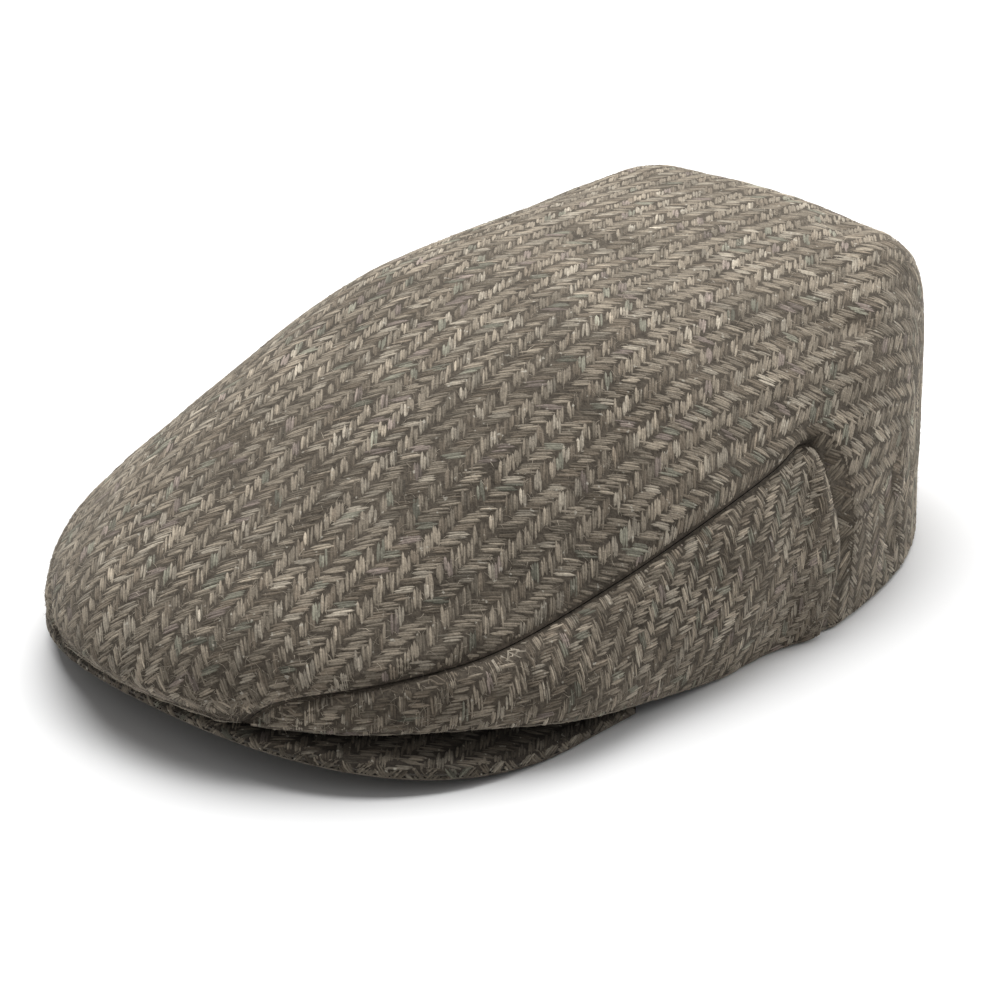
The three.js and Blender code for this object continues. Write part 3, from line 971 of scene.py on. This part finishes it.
def new_material(name, sheen=0.15, roughness=0.95):
    """A matt, woolly material, with its tree, its shader and the places on the object."""
    material = bpy.data.materials.new(name)
    material.use_nodes = True
    tree = material.node_tree
    shader = tree.nodes["Principled BSDF"]
    shader.inputs["Roughness"].default_value = roughness
    shader.inputs["Specular IOR Level"].default_value = 0.15
    shader.inputs["Sheen Weight"].default_value = sheen
    shader.inputs["Sheen Roughness"].default_value = 0.5
    shader.inputs["Sheen Tint"].default_value = (0.85, 0.80, 0.70, 1)
    return material, tree, shader, node(tree, "ShaderNodeTexCoord").outputs["Object"]


def node(tree, kind, inputs=None, **settings):
    """A node whose inputs are values or other nodes' sockets."""
    made = tree.nodes.new(kind)
    for key, value in settings.items():
        setattr(made, key, value)
    for key, value in (inputs or {}).items():
        if isinstance(value, bpy.types.NodeSocket):
            tree.links.new(value, made.inputs[key])
        else:
            made.inputs[key].default_value = value
    return made


def noise(tree, vector, scale, detail=3.0, roughness=0.6):
    inputs = {"Vector": vector, "Scale": scale, "Detail": detail, "Roughness": roughness}
    return node(tree, "ShaderNodeTexNoise", inputs).outputs["Fac"]


def ranged(tree, value, to_low, to_high, band=NOISE_BAND):
    inputs = {"Value": value, "From Min": band[0], "From Max": band[1], "To Min": to_low, "To Max": to_high}
    return node(tree, "ShaderNodeMapRange", inputs).outputs["Result"]


def mixed(tree, share, a, b):
    return node(tree, "ShaderNodeMix", {0: share, 6: a, 7: b}, data_type="RGBA").outputs[2]


def scaled_by(tree, colour, factor):
    return node(tree, "ShaderNodeVectorMath", {0: colour, 1: factor}, operation="MULTIPLY").outputs["Vector"]


def finish_material(tree, shader, colour, height, strength, distance):
    """Connects a colour, and a bump of so many metres."""
    tree.links.new(colour, shader.inputs["Base Color"])
    bump = node(tree, "ShaderNodeBump", {"Height": height, "Strength": strength, "Distance": distance})
    tree.links.new(bump.outputs["Normal"], shader.inputs["Normal"])


def yarn_material(name, brightness):
    """Wool yarn: its own tint, streaked along its length, with pale and dark fibres."""
    material, tree, shader, body = new_material(name, sheen=0.25)
    tint = node(tree, "ShaderNodeAttribute", attribute_name="tint").outputs["Color"]
    yarn = node(tree, "ShaderNodeUVMap", uv_map="Yarn").outputs["UV"]
    along = node(tree, "ShaderNodeMapping", {"Vector": yarn, "Scale": (0.4, 3.2, 1), "Rotation": (0, 0, 0.1)})
    streak = noise(tree, along.outputs["Vector"], scale=1.0, detail=4.0, roughness=0.65)
    grit = noise(tree, body, scale=1500.0, detail=2.0, roughness=0.7)
    colour = scaled_by(tree, tint, ranged(tree, streak, 0.72 * brightness, 1.28 * brightness))
    colour = scaled_by(tree, colour, ranged(tree, grit, 0.78, 1.22))
    pale = ranged(tree, noise(tree, body, scale=620.0, detail=1.0), 0.0, 0.55, band=(0.69, 0.75))
    colour = mixed(tree, pale, colour, (0.50, 0.47, 0.40, 1))
    height = node(tree, "ShaderNodeMath", {0: streak, 1: grit}, operation="ADD").outputs["Value"]
    finish_material(tree, shader, colour, height, strength=0.55, distance=0.0003)
    return material


def ground_material(name, dark, light):
    """The cloth between the yarns."""
    material, tree, shader, body = new_material(name)
    fine = noise(tree, body, scale=900.0, detail=4.0, roughness=0.7)
    patch = noise(tree, body, scale=60.0, detail=2.0)
    colour = mixed(tree, ranged(tree, fine, 0, 1), (*dark, 1), (*light, 1))
    colour = scaled_by(tree, colour, ranged(tree, patch, 0.8, 1.2))
    finish_material(tree, shader, colour, fine, strength=0.6, distance=0.0004)
    return material


def inside_material(name):
    """The plain back of the cloth."""
    material, tree, shader, body = new_material(name)
    turned = node(tree, "ShaderNodeMapping", {"Vector": body, "Rotation": (0.6, 0.5, 0.78)}).outputs["Vector"]
    ribs = {"Vector": turned, "Scale": 190.0, "Distortion": 2.0, "Detail": 2.0, "Detail Scale": 2.0}
    twill = node(tree, "ShaderNodeTexWave", ribs).outputs["Fac"]
    fine = noise(tree, body, scale=700.0, detail=3.0, roughness=0.7)
    colour = mixed(tree, twill, (0.060, 0.049, 0.038, 1), (0.125, 0.105, 0.082, 1))
    colour = scaled_by(tree, colour, ranged(tree, fine, 0.7, 1.3))
    finish_material(tree, shader, colour, twill, strength=0.4, distance=0.0004)
    return material


def floor_material():
    material, tree, shader, body = new_material("pale_floor", sheen=0.0, roughness=0.9)
    colour = mixed(tree, noise(tree, body, scale=3.0), (0.74, 0.74, 0.74, 1), (0.77, 0.77, 0.77, 1))
    tree.links.new(colour, shader.inputs["Base Color"])
    return material


YARN = yarn_material("tweed_yarn", 1.0)
# Painted shadow: the peak's yarn is a darker copy of the crown's, for the shadow of the lip over the peak
PEAK_YARN_PAINTED_SHADOW = yarn_material("peak_tweed_yarn_painted_shadow", 0.52)
# The ground is dark: partly the cloth's own colour, partly painted shade in the gaps between the yarns
GROUND = ground_material("tweed_ground", dark=(0.032, 0.026, 0.020), light=(0.110, 0.091, 0.070))
# Painted shadow: the peak's ground is a darker copy of the crown's, for the shadow of the lip over the peak
PEAK_GROUND_PAINTED_SHADOW = ground_material("peak_tweed_ground_painted_shadow", dark=(0.014, 0.011, 0.009), light=(0.055, 0.045, 0.035))
EDGE = ground_material("tweed_fold", dark=(0.105, 0.088, 0.068), light=(0.30, 0.262, 0.208))
INSIDE = inside_material("tweed_inside")
CLOTH = [GROUND, INSIDE, EDGE]

# Crown
top_outer, top_inner = top_panel(ROWS, TOP_COLS)
side_outer, side_inner = side_panel(ROWS, SIDE_COLS)
top_cloth = cloth_wall("top_cloth", top_outer, top_inner, ("lip", "hem"), CLOTH)
side_left = cloth_wall("side_cloth_left", side_outer, side_inner, ("left",), CLOTH)
side_right = mirrored(side_left, "side_cloth_right")

EVEN = np.linspace(-1, 1, 2001)
CROWDED = crowded(EVEN)
top_face = face_of(top_outer, lambda s: s / LAST * (ROWS - 1),
                   lambda v: (np.interp(v, CROWDED, EVEN) + 1) / 2 * (TOP_COLS - 1))
side_face = face_of(side_outer, lambda s: (s - SIDE_FIRST) / (LAST - 2 * SIDE_FIRST) * (ROWS - 1),
                    lambda w: w * (SIDE_COLS - 1))

grain, grain_length = top_grain()
grain_half = (grain.shape[1] - 1) / 2 * GRAIN_STEP
edge_row = int(np.nanargmin(np.abs(grain[:, grain.shape[1] // 2, 0] - BACK_EDGE_SECTION)))
edge_length = edge_row * GRAIN_STEP


def back_edge(v):
    """The section where the grain of the top gives way to that of the back wall."""
    near_seam = np.clip((np.abs(v) - BACK_EDGE_FROM) / (1 - BACK_EDGE_FROM), 0, 1)
    return BACK_EDGE_SECTION + near_seam**BACK_EDGE_POWER


def clear_of(face, s, t, seam):
    """Whether places lie far enough from a seam for a yarn."""
    here = face(s, t)[0]
    there = face(s, np.broadcast_to(seam, t.shape))[0]
    return np.linalg.norm(here - there, axis=-1) > SEAM_CLEARANCE


def on_top(cloth, spot):
    """Whether a yarn may lie on the top, clear of its seams and of the back wall."""
    s, v = spot[..., 0], spot[..., 1]
    before = (cloth[..., 1] < edge_length) | (np.abs(v) < BACK_EDGE_FROM)
    return before & (s < back_edge(v)) & clear_of(top_face, s, v, np.where(v > 0, 1.0, -1.0))


def on_wall(cloth, spot):
    """Whether a yarn may lie on the back wall."""
    s = (spot[..., 0] + WALL_FIRST_ROW) / (ROWS - 1) * LAST
    e = spot[..., 1] / (TOP_COLS - 1) * 2 - 1
    seam = np.where(e > 0, TOP_COLS - 1.0, 0.0)
    return (s >= back_edge(crowded(e))) & clear_of(back_wall.face, spot[..., 0], spot[..., 1], seam)


def on_side(cloth, spot):
    """Whether a yarn may lie on the side panel."""
    return clear_of(side_cloth.face, spot[..., 0], spot[..., 1], 0.0)


def grain_place(cloth):
    """Row and column of the grain for cloth millimetres."""
    return cloth[..., 1] / GRAIN_STEP, (cloth[..., 0] + grain_half) / GRAIN_STEP


def top_place(cloth):
    """Places on the top panel for cloth millimetres."""
    return bilinear(grain, *grain_place(cloth))


def grain_room(cloth):
    """How far apart the grain's lines are, so that fewer yarns go where they crowd."""
    i, j = grain_place(cloth)
    a = bilinear(grain, i - 1, j)
    b = bilinear(grain, i + 1, j)
    ends = [top_point(np.nan_to_num(g[..., 0]), np.nan_to_num(g[..., 1])) for g in (a, b)]
    gap = np.linalg.norm(ends[1] - ends[0], axis=-1) / (2 * GRAIN_STEP)
    gap = np.where(np.isfinite(a[..., 0]) & np.isfinite(b[..., 0]), gap, 1)
    forward = np.nan_to_num(b[..., 0] - a[..., 0], nan=1.0) > 0
    return np.where(forward, gap / FULL_ROOM, 0)


def lay_strip(name, grid, material):
    """A herringbone on a narrow strip, laid flat by its lengths along and across."""
    along = running_length(grid[:, grid.shape[1] // 2])
    across = running_length(grid[grid.shape[0] // 2])
    strip = FlatPanel(grid, np.stack(np.meshgrid(along, across, indexing="ij"), -1))
    return lay_yarns(name, strip.place, strip.face, ((0, along[-1]), (0, across[-1])), 0, material)


top_ranges = ((-grain_half, grain_half), (0, grain_length))
top_weave = lay_yarns("top", top_place, top_face, top_ranges, 0, YARN, on_top, grain_room)
lip = [top_outer[0], *fold_rings(top_outer, top_inner, "lip")[:WOVEN_RINGS]]
top_weave += lay_strip("top_lip", np.stack(lip, 1), YARN)
hem_rings = [ring[::-1] for ring in fold_rings(top_outer, top_inner, "hem")[:WOVEN_RINGS]]
back_wall = wall_flat(np.concatenate([top_outer[WALL_FIRST_ROW:], np.stack(hem_rings)]), edge_length)
top_weave += lay_yarns("back", back_wall.place, back_wall.face, WALL_RANGES, 0, YARN, on_wall)
top_weave.append(fuzz_mesh("top_fuzz", top_face, *TOP_FIBRE_PLACES, TOP_FIBRES, YARN))

side_rings = fold_rings(side_outer, side_inner, "left")[:WOVEN_RINGS]
side_cloth = side_flat(np.concatenate([side_outer, np.stack(side_rings, 1)], 1))
side_weave_left = lay_yarns("side_left", side_cloth.place, side_cloth.face, SIDE_RANGES, SIDE_TURN, YARN,
                            on_side, scale=SIDE_WEAVE)
side_weave_left.append(fuzz_mesh("side_left_fuzz", side_face, *SIDE_FIBRE_PLACES, SIDE_FIBRES, YARN))
side_weave_right = [mirrored(piece, piece.name.replace("left", "right")) for piece in side_weave_left]


# Peak

def peak_outer(q):
    """The outer edge of the peak: a squarish arc, then a short straight run back to each tip."""
    arc_share = 1 - PEAK_RUN_SHARE
    angle = np.minimum(1, np.abs(q) / arc_share) * math.pi / 2
    power = 2 / PEAK_SQUARENESS
    x = PEAK_HALF_WIDTH * np.sin(angle) ** power
    y = PEAK_SIDE_Y + (PEAK_FRONT_Y - PEAK_SIDE_Y) * np.maximum(0, np.cos(angle)) ** power
    z = PEAK_ARCH * (1 - (x / PEAK_HALF_WIDTH) ** 2)
    run = np.maximum(0, (np.abs(q) - arc_share) / PEAK_RUN_SHARE)[:, None]
    out = np.stack([x, y, z], -1) * (1 - run) + PEAK_TIP * run
    out[:, 0] *= np.sign(q)
    return out


def peak_inner(q):
    """The inner edge of the peak, under the lip."""
    angle = q * math.pi / 2
    x = PEAK_INNER_HALF_WIDTH * np.sin(angle)
    y = PEAK_INNER_TIP_Y + (PEAK_INNER_FRONT_Y - PEAK_INNER_TIP_Y) * np.cos(angle)
    z = PEAK_INNER_TIP_Z + PEAK_INNER_ARCH * np.cos(angle) ** 2
    return np.stack([x, y, z], -1)


def peak_grids():
    """Upper and lower grids of the peak, rounded at the rim."""
    q = np.linspace(1, -1, PEAK_STEPS)
    a, b = peak_outer(q), peak_inner(q)
    length = np.linalg.norm(b - a, axis=-1)[:, None]
    thick = PEAK_THICKNESS + (PEAK_TIP_THICKNESS - PEAK_THICKNESS) * np.abs(q[:, None]) ** PEAK_THINNING
    rim = np.minimum(PEAK_RIM, length * PEAK_RIM_SHARE)
    behind = rim / length + (1 - rim / length) * PEAK_FACE_PLACES
    t = np.concatenate([PEAK_RIM_PLACES[None] * rim / length, behind], 1)
    middle = a[:, None] + (b - a)[:, None] * t[..., None]
    inward = np.minimum(1, t * length / rim)
    share = PEAK_EDGE_SHARE + (1 - PEAK_EDGE_SHARE) * np.sqrt(1 - (1 - inward) ** 2)
    middle[..., 0] += PEAK_SKEW * np.maximum(0, PEAK_INNER_TIP_Y - middle[..., 1])
    middle[..., 1] -= MIDDLE_Y
    middle[..., 2] += thick / 2
    rise = np.stack([0 * share, 0 * share, share * thick / 2], -1)
    return middle + rise, middle - rise


peak_upper, peak_lower = peak_grids()
peak_cover = cloth_wall("peak_cover", peak_upper, peak_lower, (), [PEAK_GROUND_PAINTED_SHADOW, INSIDE, PEAK_GROUND_PAINTED_SHADOW])


def lay_peak_yarns(name):
    """Herringbone on the peak's upper face, dropped on to it along Z."""
    tree = BVHTree.FromObject(peak_cover, bpy.context.evaluated_depsgraph_get())
    strands = Strands(*PEAK_RANGES, 0, 1.0)
    down = Vector((0, 0, -1))

    def drop(xy):
        hit, normal, _, _ = tree.ray_cast(Vector((xy[0] * MM, xy[1] * MM, PEAK_DROP_FROM)), down)
        return np.full(6, np.nan) if hit is None else np.array([*(x / MM for x in hit), *normal])

    def valid(cloth):
        found = np.array([drop(p) for p in cloth])
        return np.isfinite(found[:, 0]) & (found[:, 5] > PEAK_LEAST_UP)
    keep, start, end = trimmed(strands.centre, strands.half, valid)
    strands.keep(keep)
    strands.clip(start[keep], end[keep])
    found = np.array([[drop(p) for p in line] for line in strands.lines()])
    whole = np.isfinite(found).all((1, 2))
    strands.keep(whole)
    return strand_mesh(name, found[whole, :, :3], unit(found[whole, :, 3:]), strands, PEAK_YARN_PAINTED_SHADOW)


peak_weave = [lay_peak_yarns("peak_yarns")]
rim = [peak_lower[:, 2], peak_lower[:, 0], peak_upper[:, 0], peak_upper[:, 2], peak_upper[:, 4]]
peak_weave += lay_strip("peak_rim", np.stack(rim, 1), PEAK_YARN_PAINTED_SHADOW)

# What each piece stands for
PIECES = [
    ([top_cloth, *top_weave], "top_panel", "crown_tweed"),
    ([side_left, *side_weave_left], "side_panel_left", "crown_tweed"),
    ([side_right, *side_weave_right], "side_panel_right", "crown_tweed"),
    ([peak_cover, *peak_weave], "peak", "peak_tweed"),
]
for pieces, cad_node, slot in PIECES:
    for piece in pieces:
        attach(piece, "root")
        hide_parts(cad_node)

# Floor, light and camera
FLOOR_HALF = 4.0
FLOOR_DROP = 0.0002
WORLD_STRENGTH = 0.30
corners = [(x * FLOOR_HALF, y * FLOOR_HALF, 0) for x, y in ((-1, -1), (1, -1), (1, 1), (-1, 1))]
floor_mesh = bpy.data.meshes.new("floor")
floor_mesh.from_pydata(corners, [], [(0, 1, 2, 3)])
floor_mesh.materials.append(floor_material())
floor = placed("floor", floor_mesh)
floor.location.z = -FLOOR_DROP

world = bpy.data.worlds.new("studio")
bpy.context.scene.world = world
world.use_nodes = True
background = world.node_tree.nodes["Background"]
background.inputs["Color"].default_value = (1, 1, 1, 1)
background.inputs["Strength"].default_value = WORLD_STRENGTH


def softbox(name, place, aim, size, power):
    """A square lamp that faces a point."""
    lamp = bpy.data.lights.new(name, "AREA")
    lamp.shape = "SQUARE"
    lamp.size = size
    lamp.energy = power
    obj = placed(name, lamp)
    obj.location = place
    obj.rotation_euler = (Vector(aim) - Vector(place)).to_track_quat("-Z", "Y").to_euler()


softbox("key", place=(-0.55, 0.45, 1.5), aim=(0, 0, 0), size=1.6, power=52)
softbox("fill", place=(0.6, 1.45, 0.7), aim=(0, 0, 0.03), size=0.8, power=11)

CAMERA_TARGET = Vector((0, 4.34, 40)) * MM
CAMERA_AZIMUTH = math.radians(45)
CAMERA_ELEVATION = math.radians(24)
CAMERA_ROLL = math.radians(-0.5)
CAMERA_DISTANCE = 1.150
CAMERA_LENS = 147.8
CAMERA_SENSOR = 36.0
CAMERA_SHIFT = (-0.005, -0.059)
CAMERA_CLIP = (0.05, 20)
back = Vector((math.sin(CAMERA_AZIMUTH) * math.cos(CAMERA_ELEVATION),
               -math.cos(CAMERA_AZIMUTH) * math.cos(CAMERA_ELEVATION), math.sin(CAMERA_ELEVATION)))
level = Vector((math.cos(CAMERA_AZIMUTH), math.sin(CAMERA_AZIMUTH), 0))
upward = back.cross(level)
right = level * math.cos(CAMERA_ROLL) + upward * math.sin(CAMERA_ROLL)
up = upward * math.cos(CAMERA_ROLL) - level * math.sin(CAMERA_ROLL)
place = CAMERA_TARGET + back * CAMERA_DISTANCE
lens = bpy.data.cameras.new("camera")
lens.sensor_width = CAMERA_SENSOR
lens.lens = CAMERA_LENS
lens.shift_x, lens.shift_y = CAMERA_SHIFT
lens.clip_start, lens.clip_end = CAMERA_CLIP
camera = placed("camera", lens)
camera.matrix_world = Matrix(((right.x, up.x, back.x, place.x), (right.y, up.y, back.y, place.y),
                              (right.z, up.z, back.z, place.z), (0, 0, 0, 1)))
bpy.context.scene.camera = camera
bpy.context.scene.view_settings.view_transform = "Standard"
